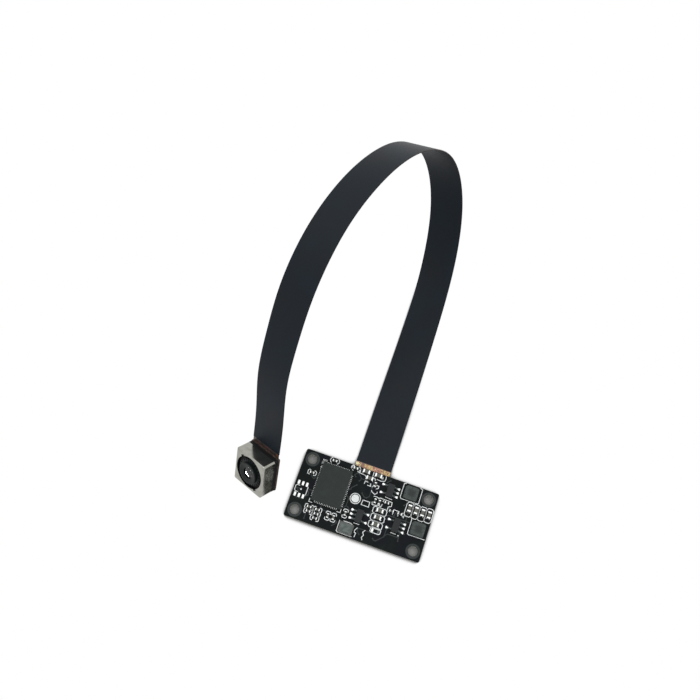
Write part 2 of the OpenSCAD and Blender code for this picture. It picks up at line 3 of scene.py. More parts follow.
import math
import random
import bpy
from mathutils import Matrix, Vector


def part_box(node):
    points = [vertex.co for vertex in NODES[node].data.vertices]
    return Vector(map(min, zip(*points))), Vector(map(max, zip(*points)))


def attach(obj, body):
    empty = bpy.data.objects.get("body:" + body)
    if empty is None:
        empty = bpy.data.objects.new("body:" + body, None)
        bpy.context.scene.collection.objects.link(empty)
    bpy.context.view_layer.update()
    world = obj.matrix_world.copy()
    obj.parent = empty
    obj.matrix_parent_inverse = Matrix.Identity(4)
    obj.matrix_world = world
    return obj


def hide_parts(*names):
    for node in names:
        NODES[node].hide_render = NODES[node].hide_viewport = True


bl_info = {
    "name": "Camera module",
    "version": (1, 0, 0),
    "blender": (4, 5, 0),
    "location": "View3D > Sidebar > Camera module",
    "description": "Dresses a camera module's board, ribbon and autofocus head around its frame",
    "category": "Object",
}

import bpy
from mathutils import Euler, Matrix, Vector

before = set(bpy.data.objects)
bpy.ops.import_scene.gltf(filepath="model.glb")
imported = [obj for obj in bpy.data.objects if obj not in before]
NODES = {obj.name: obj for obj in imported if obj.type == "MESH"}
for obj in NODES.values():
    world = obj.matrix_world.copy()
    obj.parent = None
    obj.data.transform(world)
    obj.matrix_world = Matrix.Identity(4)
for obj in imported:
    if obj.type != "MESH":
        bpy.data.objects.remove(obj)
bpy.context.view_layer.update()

MM = 0.001


# ---- Colour, materials and meshes ----


def linear(colour):
    """An sRGB hex colour as linear red, green, blue and alpha."""
    parts = [int(colour[i:i + 2], 16) / 255 for i in (1, 3, 5)]
    return [c / 12.92 if c <= 0.04045 else ((c + 0.055) / 1.055) ** 2.4 for c in parts] + [1.0]


def add_node(tree, kind, inputs=None, **settings):
    """Adds a shader node, sets it, and gives its inputs a value or links them to an output."""
    node = tree.nodes.new("ShaderNode" + kind)
    for name, value in settings.items():
        setattr(node, name, value)
    for socket, value in (inputs or {}).items():
        if isinstance(value, bpy.types.NodeSocket):
            tree.links.new(value, node.inputs[socket])
        else:
            node.inputs[socket].default_value = value
    return node


def reckon(tree, operation, first, second=0.0):
    """The outcome of one sum with one value or two."""
    return add_node(tree, "Math", {0: first, 1: second}, operation=operation).outputs[0]


class Finish:
    """One material: a principled shader, with what varies over its surface added to it."""

    def __init__(self, name, colour, roughness, metallic=0.0, **sockets):
        self.material = bpy.data.materials.new(name)
        self.material.use_nodes = True
        self.tree = self.material.node_tree
        self.inputs = self.tree.nodes["Principled BSDF"].inputs
        self.inputs["Base Color"].default_value = (
            linear(colour) if isinstance(colour, str) else [*colour, 1.0])
        self.inputs["Roughness"].default_value = roughness
        self.inputs["Metallic"].default_value = metallic
        for socket, value in sockets.items():
            self.inputs[socket.replace("_", " ")].default_value = value
        self.place = add_node(self.tree, "TexCoord").outputs["Object"]

    def lumps(self, size, detail=3.0, stretch=(1, 1, 1)):
        """A value that wanders from 0 to 1 over lumps of a size in millimetres."""
        scaled = add_node(self.tree, "Mapping", {"Vector": self.place, "Scale": stretch})
        noise = add_node(self.tree, "TexNoise", {
            "Vector": scaled.outputs[0], "Scale": 1 / (size * MM), "Detail": detail})
        return noise.outputs["Fac"]

    def across(self, axis):
        """The place along an axis, in millimetres."""
        split = add_node(self.tree, "SeparateXYZ", {0: self.place})
        return reckon(self.tree, "MULTIPLY", split.outputs[axis], 1 / MM)

    def both(self, first, second):
        """The product of two values."""
        return reckon(self.tree, "MULTIPLY", first, second)

    def band(self, value, middle, reach):
        """1 at the middle of a band of a value, and 0 past its reach."""
        off = reckon(self.tree, "SUBTRACT", value, middle)
        return self.share(reckon(self.tree, "ABSOLUTE", off), reach, 0.4 * reach)

    def share(self, value, low, high):
        """Turns a value's stretch from low to high into 0 to 1."""
        return add_node(self.tree, "MapRange", {
            "Value": value, "From Min": low, "From Max": high}).outputs["Result"]

    def tint(self, value, colour):
        """Mixes a colour into the base colour by a value."""
        base = self.inputs["Base Color"]
        under = base.links[0].from_socket if base.is_linked else list(base.default_value)
        mix = add_node(self.tree, "Mix", {0: value, 6: under, 7: linear(colour)},
                       data_type="RGBA")
        self.tree.links.new(mix.outputs[2], base)
        return self

    def patches(self, size, low, high, colour, detail=3.0):
        """Tints the lumps of a size, from where they pass low until they are full at high."""
        return self.tint(self.share(self.lumps(size, detail), low, high), colour)

    def wear(self, size, rough, low=0.0, high=1.0):
        """Takes the roughness to another value where the lumps of a size rise."""
        here = self.inputs["Roughness"]
        result = add_node(self.tree, "MapRange", {
            "Value": self.lumps(size), "From Min": low, "From Max": high,
            "To Min": here.default_value, "To Max": rough})
        self.tree.links.new(result.outputs["Result"], here)
        return self

    def relief(self, size, depth, detail=3.0, stretch=(1, 1, 1)):
        """Raises the surface in lumps of a size, by up to a depth in millimetres."""
        bump = add_node(self.tree, "Bump", {
            "Height": self.lumps(size, detail, stretch), "Distance": depth * MM, "Strength": 1.0})
        self.tree.links.new(bump.outputs[0], self.inputs["Normal"])
        return self


class Draft:
    """Gathers the points and faces of one piece, in millimetres."""

    def __init__(self, at=None):
        self.at = at or Matrix.Identity(4)
        self.points = []
        self.faces = []

    def add(self, points, faces):
        start = len(self.points)
        self.points += [self.at @ Vector(p) for p in points]
        self.faces += [[start + i for i in face] for face in faces]

    def skin(self, rings, closed=False):
        """Joins rings of equally many points, into a loop or with a cap on each end."""
        size = len(rings[0])
        faces = []
        for r in range(len(rings) if closed else len(rings) - 1):
            near, far = r * size, (r + 1) % len(rings) * size
            faces += [[near + j, near + (j + 1) % size, far + (j + 1) % size, far + j]
                      for j in range(size)]
        if not closed:
            last = (len(rings) - 1) * size
            faces += [list(range(size))[::-1], [last + j for j in range(size)]]
        self.add([p for ring in rings for p in ring], faces)

    def prism(self, outline, low, high):
        """A flat outline raised from one height to another."""
        self.skin([[(x, y, z) for x, y in outline] for z in (low, high)])

    def stroke(self, line, width, low, high, closed=False):
        """A line of even width with mitred corners, between two heights."""
        rings = []
        count = len(line)
        for i, spot in enumerate(line):
            here = Vector(spot)
            sides = []
            if closed or i:
                sides.append((here - Vector(line[i - 1])).normalized())
            if closed or i < count - 1:
                sides.append((Vector(line[(i + 1) % count]) - here).normalized())
            along = sum(sides, Vector((0, 0))).normalized()
            reach = width / 2 / max(along.dot(sides[0]), 0.5)
            out = reach * Vector((-along.y, along.x))
            left, right = here + out, here - out
            rings.append([(*left, low), (*right, low), (*right, high), (*left, high)])
        self.skin(rings, closed)

    def make(self, name, finish, smooth=None):
        """Makes the object, smooth up to an angle in degrees."""
        mesh = bpy.data.meshes.new(name)
        mesh.from_pydata([p * MM for p in self.points], [], self.faces)
        mesh.update()
        if smooth:
            mesh.polygons.foreach_set("use_smooth", [True] * len(mesh.polygons))
            mesh.set_sharp_from_angle(angle=math.radians(smooth))
        mesh.materials.append(finish)
        made = bpy.data.objects.new(name, mesh)
        bpy.context.scene.collection.objects.link(made)
        return made

    def piece(self, name, finish, body="root", smooth=None):
        """Makes the object and puts it on its body."""
        made = self.make(name, finish, smooth)
        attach(made, body)
        return made


def arc(x, y, radius, start, end, steps):
    """Points on an arc, from one angle to another in degrees."""
    angles = [math.radians(start + (end - start) * i / steps) for i in range(steps + 1)]
    return [(x + radius * math.cos(a), y + radius * math.sin(a)) for a in angles]


def circle(x, y, radius, count):
    """Evenly spread points on a circle."""
    return arc(x, y, radius, 0, 360 - 360 / count, count - 1)


def rounded_box(x, y, length, width, radius, steps=4):
    """A box's outline with round corners, or cut ones where they have one step."""
    corner_turns = [(1, 1, 0), (-1, 1, 90), (-1, -1, 180), (1, -1, 270)]
    return [p for sx, sy, turn in corner_turns
            for p in arc(x + sx * (length / 2 - radius), y + sy * (width / 2 - radius),
                         radius, turn, turn + 90, steps)]


def rounded_reach(angle, half, radius):
    """How far a ray from the middle of a square with round corners runs to its edge."""
    x, y = abs(math.cos(angle)), abs(math.sin(angle))
    reach = half / max(x, y)
    inner = half - radius
    if min(x, y) * reach > inner:
        along = inner * (x + y)
        reach = along + math.sqrt(max(along ** 2 - 2 * inner ** 2 + radius ** 2, 0))
    return reach


def corners(points):
    """The lowest and the highest corner of the box round some points."""
    columns = list(zip(*points))
    return Vector(map(min, columns)), Vector(map(max, columns))


def node_points(node):
    return [v.co / MM for v in NODES[node].data.vertices]


def box_mm(node):
    low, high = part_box(node)
    return low / MM, high / MM


def solids(node):
    """The lowest and highest corners of each separate solid in a node, in millimetres."""
    mesh = NODES[node].data
    keys = [tuple(round(c / MM, 3) for c in v.co) for v in mesh.vertices]
    groups = {key: {key} for key in keys}
    for edge in mesh.edges:
        near, far = (groups[keys[i]] for i in edge.vertices)
        if near is not far:
            near |= far
            groups.update((key, near) for key in far)
    separate = {id(group): group for group in groups.values()}
    return [corners(group) for group in separate.values()]


def dress(nodes, finish, edge=0.0):
    """Gives frame nodes their finish, and softens their edges without changing their meshes."""
    for node in nodes.split():
        part = NODES[node]
        for slot in part.material_slots:
            slot.material = finish
        if edge:
            weld = part.modifiers.new("Weld", "WELD")
            weld.merge_threshold = 0.002 * MM
            bevel = part.modifiers.new("Soft_edges", "BEVEL")
            bevel.width = edge * MM
            bevel.segments = 2
            bevel.limit_method = "ANGLE"
            bevel.angle_limit = math.radians(35)


def area_lamp(name, size, power):
    """Makes a rectangular lamp, with its size in metres."""
    lamp = bpy.data.lights.new(name, "AREA")
    lamp.shape = "RECTANGLE"
    lamp.size, lamp.size_y = size
    lamp.energy = power
    made = bpy.data.objects.new(name, lamp)
    bpy.context.scene.collection.objects.link(made)
    return made


# ---- Places that the frame gives ----

board_low, board_high = box_mm("circuit_board")
board_top = board_high.z
REGULATORS = "upper_regulator middle_regulator lower_regulator"

HEAD_TURN = (55, -22, -21)


def head_place():
    """Where the camera head lies: X across it, Y towards the ribbon, Z out of its front."""
    turn = Euler([math.radians(a) for a in HEAD_TURN]).to_matrix()
    low, high = corners([turn.transposed() @ p for p in node_points("stiffener_plate")])
    back = turn @ Vector(((low.x + high.x) / 2, (low.y + high.y) / 2, low.z))
    return Matrix.Translation(back) @ turn.to_4x4()


head = head_place()


def head_box(node):
    """A node's box in the camera head's own directions."""
    inward = head.inverted()
    return corners([inward @ p for p in node_points(node)])


def chips(node):
    """Each chip body's middle, size, and whether its ends lie along Y."""
    ends = [(low + high) / 2 for low, high in solids(node.replace("bodies", "ends"))]
    found = []
    for low, high in solids(node):
        middle = (low + high) / 2
        way = min((end - middle for end in ends), key=lambda w: w.length)
        found.append((middle, high - low, abs(way.y) > abs(way.x)))
    return found


# ---- Settings ----


class BoardSettings(bpy.types.PropertyGroup):
    mask_colour: bpy.props.FloatVectorProperty(
        name="Solder mask", description="Colour of the board's lacquer",
        subtype="COLOR", default=linear("#0a1010")[:3])
    ink_width: bpy.props.FloatProperty(
        name="Line width", description="Width of a printed line on the board",
        default=0.16 * MM, min=0.1 * MM, max=0.3 * MM, precision=5, unit="LENGTH")
    via_count: bpy.props.IntProperty(
        name="Vias", description="How many lacquered vias lie between the parts",
        default=90, min=0, max=200)


class RibbonSettings(bpy.types.PropertyGroup):
    film_colour: bpy.props.FloatVectorProperty(
        name="Film", description="Colour of the ribbon's shield film",
        subtype="COLOR", default=linear("#08151f")[:3])
    stations: bpy.props.IntProperty(
        name="Stations", description="How many sections are drawn along the ribbon",
        default=240, min=60, max=600)


class HeadSettings(bpy.types.PropertyGroup):
    window_d: bpy.props.FloatProperty(
        name="Window", description="Diameter of the window in the camera head's can",
        default=7.9 * MM, min=7 * MM, max=8 * MM, precision=5, unit="LENGTH")
    edge_roll: bpy.props.FloatProperty(
        name="Edge", description="How far the drawn can's front edge is rounded",
        default=0.3 * MM, min=0.1 * MM, max=0.5 * MM, precision=5, unit="LENGTH")


class StageSettings(bpy.types.PropertyGroup):
    focal_length: bpy.props.FloatProperty(
        name="Focal length", description="The camera's focal length on a 36 mm sensor, in mm",
        default=39.857, min=10, max=200)
    sky: bpy.props.FloatProperty(
        name="Sky", description="Strength of the soft light from all round",
        default=0.85, min=0, max=2)
    box_power: bpy.props.FloatProperty(
        name="Softbox", description="Power of the large softbox over the board",
        default=2.7, min=0, max=50, unit="POWER")
    edge_power: bpy.props.FloatProperty(
        name="Edge light", description="Power of the small lamp that glints on metal edges",
        default=0.55, min=0, max=5, unit="POWER")


# ---- Finishes ----


def solder_mask(settings):
    # Black solder mask printed and cured on fibreglass laminate. It is a satin lacquer, a
    # little uneven over the copper, and the routed edge shows the pale laminate under it.
    made = Finish("Solder_mask", settings.mask_colour, 0.5, IOR=1.52, Specular_IOR_Level=0.11)
    made.patches(3.2, 0.5, 0.68, "#131c1a")
    made.patches(4.5, 0.52, 0.66, "#0b0f18")
    made.patches(0.9, 0.55, 0.75, "#080a0c")
    made.wear(0.8, 0.62)
    made.relief(0.5, 0.004)
    facing = add_node(made.tree, "NewGeometry").outputs["Normal"]
    upright = add_node(made.tree, "SeparateXYZ", {0: facing}).outputs[2]
    edge = made.share(reckon(made.tree, "ABSOLUTE", upright), 0.6, 0.4)
    made.tint(edge, "#cfd1c6")
    weave = made.share(made.lumps(0.12, 1.0, (1, 1, 4)), 0.35, 0.6)
    return made.tint(made.both(edge, weave), "#96978a").material


def covered_copper():
    # Copper tracks under the same lacquer: a shade lighter, because the lacquer is thin there.
    made = Finish("Covered_copper", "#1a2122", 0.45, IOR=1.52, Specular_IOR_Level=0.35)
    return made.patches(0.9, 0.4, 0.7, "#222c2a").material


def white_ink():
    # Screen-printed epoxy ink: chalky white, thin at its edges, so the lacquer shows through.
    made = Finish("White_ink", "#f0f4f3", 0.6, IOR=1.5)
    made.patches(0.22, 0.52, 0.75, "#a9b3b4")
    return made.relief(0.08, 0.006).material


def tinned_copper():
    # Solder reflowed on copper: a bright white metal with a soft, slightly wavy skin.
    made = Finish("Tinned_copper", "#e6e9e7", 0.26, 1.0)
    made.patches(0.3, 0.5, 0.75, "#bfc6c5")
    made.wear(0.2, 0.42)
    return made.relief(0.35, 0.012).material


def dull_tin():
    # Plated tin that was never wetted, or was bent after plating: grey, matt and oxidised.
    made = Finish("Dull_tin", "#5b6162", 0.5, 1.0)
    made.patches(0.4, 0.45, 0.7, "#474c4d")
    return made.relief(0.15, 0.004).material


def moulded_epoxy(name, colour, light):
    # Transfer-moulded epoxy with silica filler: matt, with a fine grain and a faint bloom.
    made = Finish(name, colour, 0.62, IOR=1.55, Specular_IOR_Level=0.3)
    made.patches(1.6, 0.4, 0.75, light)
    made.patches(0.07, 0.55, 0.8, "#3a4240", 1.0)
    return made.relief(0.06, 0.004, 1.0).material


def ferrite(node):
    # Sintered ferrite under a coat of grey resin: stony and matt, with a mottled lighter rim
    # round the darker middle, where the resin sank over the coil.
    made = Finish("Ferrite_" + node, "#39423f", 0.68, IOR=1.6, Specular_IOR_Level=0.35)
    made.patches(0.7, 0.45, 0.7, "#2a3232")
    made.patches(0.22, 0.52, 0.66, "#505a57", 2.0)
    low, high = box_mm(node)
    across = made.band(made.across("X"), (low.x + high.x) / 2, 1.15)
    along = made.band(made.across("Y"), (low.y + high.y) / 2, 1.15)
    made.tint(made.both(across, along), "#212827")
    return made.relief(0.12, 0.012).material


def chip_ceramic(name, colour, dark):
    # Fired barium titanate, tumbled before its ends are plated: a smooth olive-grey ceramic.
    made = Finish(name, colour, 0.45, IOR=1.7)
    made.patches(0.25, 0.4, 0.7, dark)
    return made.relief(0.1, 0.004).material


def nickel_lid():
    # A nickel-plated lid, seam-welded in nitrogen: satin grey, with a brushed top.
    made = Finish("Nickel_lid", "#5d6462", 0.42, 1.0)
    made.patches(0.9, 0.4, 0.7, "#454c4a")
    return made.relief(0.09, 0.003, 2.0, (1, 6, 1)).material


TRACK_PITCH = 0.6


def polyimide():
    # Amber polyimide over copper foil: clear and glossy, pink where copper lies under it, and
    # browned by heat and glue at the head, where it was bonded to the sensor's own board. A
    # painted highlight makes the left end of the bare strip by the board pale yellow-white.
    made = Finish("Polyimide", "#b3974a", 0.3, IOR=1.7, Coat_Weight=0.2)
    x, y = made.across("X"), made.across("Y")
    tracks = reckon(made.tree, "SINE", reckon(made.tree, "MULTIPLY", x, math.tau / TRACK_PITCH))
    made.tint(made.share(tracks, 0.1, 0.7), "#dcc377")
    made.patches(0.6, 0.5, 0.6, "#bd8d4c")
    made.tint(made.band(x, 0.7, 1.3), "#bf7d60")
    made.patches(0.3, 0.58, 0.66, "#efe0a8", 2.0)
    # Painted highlight: pale yellow-white left of x = -3.7 mm, which shows at the left end of the
    # bare strip by the board.
    made.tint(made.share(x, -3.0, -3.7), "#f0e6a6")
    made.tint(made.band(x, -2.7, 0.55), "#4a2c1c")
    made.tint(made.share(y, 8.98, 9.16), "#4f3319")
    made.patches(0.25, 0.6, 0.7, "#6b4a22")
    at_head = made.share(x, -9, -11)
    made.tint(at_head, "#35302a")
    spots = made.share(made.lumps(0.45, 2.0), 0.5, 0.6)
    made.tint(made.both(at_head, spots), "#5f403c")
    made.tint(made.both(at_head, made.share(made.lumps(0.2, 2.0), 0.55, 0.62)), "#171411")
    made.tint(made.both(made.share(x, -21.6, -20.6), spots), "#8a4a24")
    return made.relief(0.4, 0.02).material


def shield_film(settings):
    # Black shield film laminated on both faces of the ribbon: satin, faintly blue, with large
    # soft patches and faint lumps.
    made = Finish("Shield_film", settings.film_colour, 0.42, IOR=1.5, Specular_IOR_Level=0.2)
    made.patches(6, 0.4, 0.7, "#0c1219")
    made.wear(0.6, 0.5)
    return made.relief(0.5, 0.004).material


def drawn_nickel_silver():
    # Nickel silver drawn to a can: a warm grey metal, with draw lines and a satin sheen.
    made = Finish("Drawn_nickel_silver", "#a6a69f", 0.16, 1.0)
    made.patches(1.6, 0.45, 0.7, "#97968d")
    made.wear(2.2, 0.19, 0.4, 0.75)
    return made.relief(0.12, 0.0004, 2.0, (1, 1, 5)).material


def black_moulding(name, colour, rough):
    # Liquid-crystal polymer, moulded round fine steel: black and satin, with a faint flow grain.
    made = Finish(name, colour, rough, IOR=1.6, Specular_IOR_Level=0.15)
    made.patches(0.5, 0.45, 0.75, "#1a1b1d")
    return made.relief(0.09, 0.006, 2.0).material


def sensor_laminate():
    # The head's own small board: dark brown laminate, sawn, so its edge is speckled.
    made = Finish("Sensor_laminate", "#2b2621", 0.6, IOR=1.5)
    made.patches(0.22, 0.5, 0.62, "#6e4f45", 2.0)
    made.patches(0.15, 0.58, 0.66, "#120f0d", 2.0)
    return made.relief(0.1, 0.02).material


def rolled_sheet(name, colour, dark, rough):
    # Cold-rolled sheet, blanked: a plain metal with fine lines along the roll.
    made = Finish(name, colour, rough, 1.0)
    made.relief(0.05, 0.003, 2.0, (1, 12, 1))
    return made.patches(1.0, 0.45, 0.7, dark).material


def gold_plate():
    # Soft gold over nickel on a punched tab: warm and bright, scuffed by its tool.
    made = Finish("Gold_plate", "#d3a64c", 0.28, 1.0)
    return made.wear(0.15, 0.45).material


def coil_wire():
    # Enamelled copper wire, wound in even turns 0.05 mm apart, drawn 0.1 mm apart to show.
    made = Finish("Coil_wire", "#a4562a", 0.35, 0.9)
    return made.relief(0.1, 0.02, 1.0, (0.2, 0.2, 1)).material


def sensor_silicon():
    # A silicon sensor under its colour mosaic: dark and mirror-smooth, with a violet cast.
    made = Finish("Sensor_silicon", "#2c2a45", 0.12, 0.6)
    return made.patches(0.9, 0.4, 0.7, "#1d2c3c").material


def coated_glass(name, colour, rough):
    # Moulded glass, coated against glare: clear, and dark where nothing lies behind it.
    made = Finish(name, colour, rough, IOR=1.53, Transmission_Weight=1.0,
                  Specular_IOR_Level=0.2)
    return made.relief(1.2, 0.0004).material


# ---- Camera and stage ----


class CAMERA_MODULE_OT_stage(bpy.types.Operator):
    """Sets the pale floor, the soft light and the camera"""

    bl_idname = "camera_module.stage"
    bl_label = "Stage"

    CAMERA_AT = Vector((-1.06, -23.05, 178.62))
    CAMERA_RIGHT = Vector((0.9446, 0.3265, 0.0328))
    CAMERA_UP = Vector((-0.3201, 0.8947, 0.3115))
    FLOOR_HALF = 3000
    FLOOR_Z = -0.03
    COVER_REACH = 2.5
    BRIGHT_WAY = Vector((0.05, 0.15, 0.98))

    def execute(self, context):
        settings = context.scene.camera_module_stage
        self.add_camera(context.scene, settings)
        self.add_floor()
        self.add_world(context.scene, settings)
        self.add_lamp("Softbox", (-0.25, 0.35, 0.9), (1.2, 0.9), settings.box_power)
        self.add_lamp("Edge_light", (0.16, -0.3, 0.82), (0.16, 0.12), settings.edge_power)
        context.scene.view_settings.view_transform = "Standard"
        return {"FINISHED"}

    def add_camera(self, scene, settings):
        right = self.CAMERA_RIGHT.normalized()
        back = right.cross(self.CAMERA_UP).normalized()
        turn = Matrix((right, back.cross(right), back)).transposed().to_4x4()
        lens = bpy.data.cameras.new("Camera")
        lens.lens = settings.focal_length
        lens.sensor_width = 36
        lens.clip_start = MM
        camera = bpy.data.objects.new("Camera", lens)
        camera.matrix_world = Matrix.Translation(self.CAMERA_AT * MM) @ turn
        scene.collection.objects.link(camera)
        scene.camera = camera

    def seen(self, tree):
        """1 for what the eye sees, by itself or in a mirror or through glass."""
        paths = add_node(tree, "LightPath").outputs
        either = reckon(tree, "MAXIMUM", paths["Is Camera Ray"], paths["Is Glossy Ray"])
        return reckon(tree, "MAXIMUM", either, paths["Is Transmission Ray"])

    def add_floor(self):
        # A pale sheet under the module. The eye, and a mirror or glass, sees it almost white
        # where it lies open, and in the shade where the module covers it closely.
        made = bpy.data.materials.new("Pale_sheet")
        made.use_nodes = True
        tree = made.node_tree
        tree.nodes.clear()
        paper = add_node(tree, "BsdfDiffuse", {"Color": linear("#989898")})
        glow = add_node(tree, "Emission", {"Color": (1, 1, 1, 1), "Strength": 1.0})
        open_air = add_node(tree, "AmbientOcclusion", {
            "Distance": self.COVER_REACH * MM})
        cover = add_node(tree, "MapRange", {
            "Value": open_air.outputs["AO"], "From Min": 0.52, "From Max": 0.74})
        share = reckon(tree, "MULTIPLY", self.seen(tree), cover.outputs["Result"])
        mix = add_node(tree, "MixShader", {
            0: share, 1: paper.outputs[0], 2: glow.outputs[0]})
        add_node(tree, "OutputMaterial", {"Surface": mix.outputs[0]})
        sheet = Draft()
        sheet.add([(sx * self.FLOOR_HALF, sy * self.FLOOR_HALF, self.FLOOR_Z)
                   for sx, sy in ((-1, -1), (1, -1), (1, 1), (-1, 1))], [[0, 1, 2, 3]])
        sheet.make("Floor", made)

    def add_world(self, scene, settings):
        # A soft room that lights the module most from above, and looks white all round.
        world = bpy.data.worlds.new("Soft_room")
        scene.world = world
        world.use_nodes = True
        tree = world.node_tree
        tree.nodes.clear()
        direction = add_node(tree, "TexCoord").outputs["Generated"]
        toward = add_node(tree, "VectorMath", {
            0: direction, 1: self.BRIGHT_WAY.normalized()}, operation="DOT_PRODUCT")
        level = add_node(tree, "MapRange", {
            "Value": toward.outputs["Value"], "From Min": 0.0, "From Max": 0.95,
            "To Min": 0.4, "To Max": 1.0}, interpolation_type="SMOOTHSTEP")
        strength = reckon(tree, "MULTIPLY", level.outputs["Result"], settings.sky)
        shown = reckon(tree, "MAXIMUM", strength, self.seen(tree))
        sky = add_node(tree, "Background", {
            "Color": linear("#ffffff"), "Strength": shown})
        add_node(tree, "OutputWorld", {"Surface": sky.outputs[0]})

    def add_lamp(self, name, place, size, power):
        """A lamp that looks at the module from a place in metres."""
        made = area_lamp(name, size, power)
        made.location = place
        made.rotation_euler = (-made.location).to_track_quat("-Z", "Y").to_euler()


# ---- Ribbon ----

# The route that the frame's ribbon follows, in metres: x, y and z of a point on its middle
# line, then how far its width leans along Y and Z for each metre along X.
RIBBON_ROUTE = [
    (-0.0002, 0.027, 0.001, 0, 0.1), (-0.0002, 0.036, 0.0011, 0, 0.2),
    (-0.0003, 0.0455, 0.0015, 0, 0.3), (-0.0005, 0.055, 0.0025, 0, 0.4),
    (-0.0013, 0.064, 0.005, 0, 0.4), (-0.003, 0.0725, 0.0095, -0.05, 0.45),
    (-0.006, 0.078, 0.0165, -0.1, 0.5), (-0.01, 0.0785, 0.0255, -0.2, 0.5),
    (-0.0145, 0.0735, 0.0325, -0.25, 0.45), (-0.0182, 0.066, 0.037, -0.25, 0.45),
    (-0.0214, 0.0575, 0.039, -0.25, 0.4), (-0.024, 0.048, 0.0393, -0.25, 0.4),
    (-0.0256, 0.039, 0.0375, -0.25, 0.35), (-0.0265, 0.0305, 0.0337, -0.25, 0.35),
    (-0.0265, 0.023, 0.0285, -0.3, 0.4), (-0.0265, 0.0155, 0.0223, -0.3, 0.45),
]
RIBBON_EXIT = (-0.0002, 0.008, 0.0006)
HEAD_EXIT = (-0.024, 0.0034, 0.00853)
STRAIGHT_END = 0.0094
RIBBON_WIDTH = 0.0084


def ribbon_controls():
    """The route with its straight ends, and a point past each end that makes it reach them."""
    across = head.to_3x3().col[0]
    up = head.to_3x3().col[1]
    lean = (across.y / across.x, across.z / across.x)
    start = Vector(RIBBON_EXIT)
    end = Vector(HEAD_EXIT)
    rows = [(*start, 0, 0), (*(start + Vector((0, STRAIGHT_END, 0))), 0, 0.02)]
    rows += RIBBON_ROUTE
    rows += [(*(end + STRAIGHT_END * up), *lean), (*end, *lean)]
    rows = [Vector(row) for row in rows]
    return [2 * rows[0] - rows[1]] + rows + [2 * rows[-1] - rows[-2]]


def ribbon_section(controls, u):
    """The middle, side and outward directions of the ribbon at u controls along it."""
    step = min(int(u), len(controls) - 4)
    t = u - step
    weights = [(1 - t) ** 3, 3 * t ** 3 - 6 * t * t + 4,
               -3 * t ** 3 + 3 * t * t + 3 * t + 1, t ** 3]
    slopes = [-(1 - t) ** 2, 3 * t * t - 4 * t, -3 * t * t + 2 * t + 1, t * t]
    near = controls[step:step + 4]
    at = sum((w * row for w, row in zip(weights, near)), Vector([0] * 5)) / 6
    heading = sum((s * row for s, row in zip(slopes, near)), Vector([0] * 5))
    along = Vector(heading[:3]).normalized()
    lean = Vector((1, at[3], at[4]))
    side = (lean - lean.dot(along) * along).normalized()
    return Vector(at[:3]), side, side.cross(along)


class CAMERA_MODULE_OT_ribbon(bpy.types.Operator):
    """Makes the flat ribbon from its amber core and its two black films"""

    bl_idname = "camera_module.ribbon"
    bl_label = "Ribbon"

    CORE_HALF = 0.05
    FILM_LOW = 0.055
    FILM_HIGH = 0.095
    BARE_END = 0.0012
    EDGE_INSET = 0.06
    COLUMNS = (-1, -0.98, -0.5, 0, 0.5, 0.98, 1)

    def execute(self, context):
        settings = context.scene.camera_module_ribbon
        half = RIBBON_WIDTH / MM / 2
        whole = self.sections(0, settings.stations)
        covered = self.sections(self.BARE_END / STRAIGHT_END, settings.stations)
        film = shield_film(settings)
        core = self.layer("ribbon_core_strip", whole, half - self.EDGE_INSET,
                          (-self.CORE_HALF, self.CORE_HALF), polyimide(), "polyimide")
        front = self.layer("ribbon_outer_film", covered, half,
                           (-self.FILM_HIGH, -self.FILM_LOW), film, "shield_film")
        back = self.layer("ribbon_inner_film", covered, half,
                          (self.FILM_LOW, self.FILM_HIGH), film, "shield_film")
        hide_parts("ribbon_core")
        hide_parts("outer_shield_film")
        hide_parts("inner_shield_film")
        return {"FINISHED"}

    def sections(self, bare, count):
        """Even sections of the ribbon, from one bare end to the other, in controls along it."""
        controls = ribbon_controls()
        run = len(controls) - 3 - 2 * bare
        return [ribbon_section(controls, bare + run * i / count) for i in range(count + 1)]

    def layer(self, name, sections, half, levels, finish, slot):
        """One layer of the ribbon, between two levels from its middle."""
        low, high = levels
        spots = [(c, high) for c in self.COLUMNS] + [(c, low) for c in self.COLUMNS[::-1]]
        draft = Draft()
        draft.skin([[at / MM + c * half * side + z * out for c, z in spots]
                    for at, side, out in sections])
        return draft.piece(name, finish, smooth=40)


# ---- Board ----


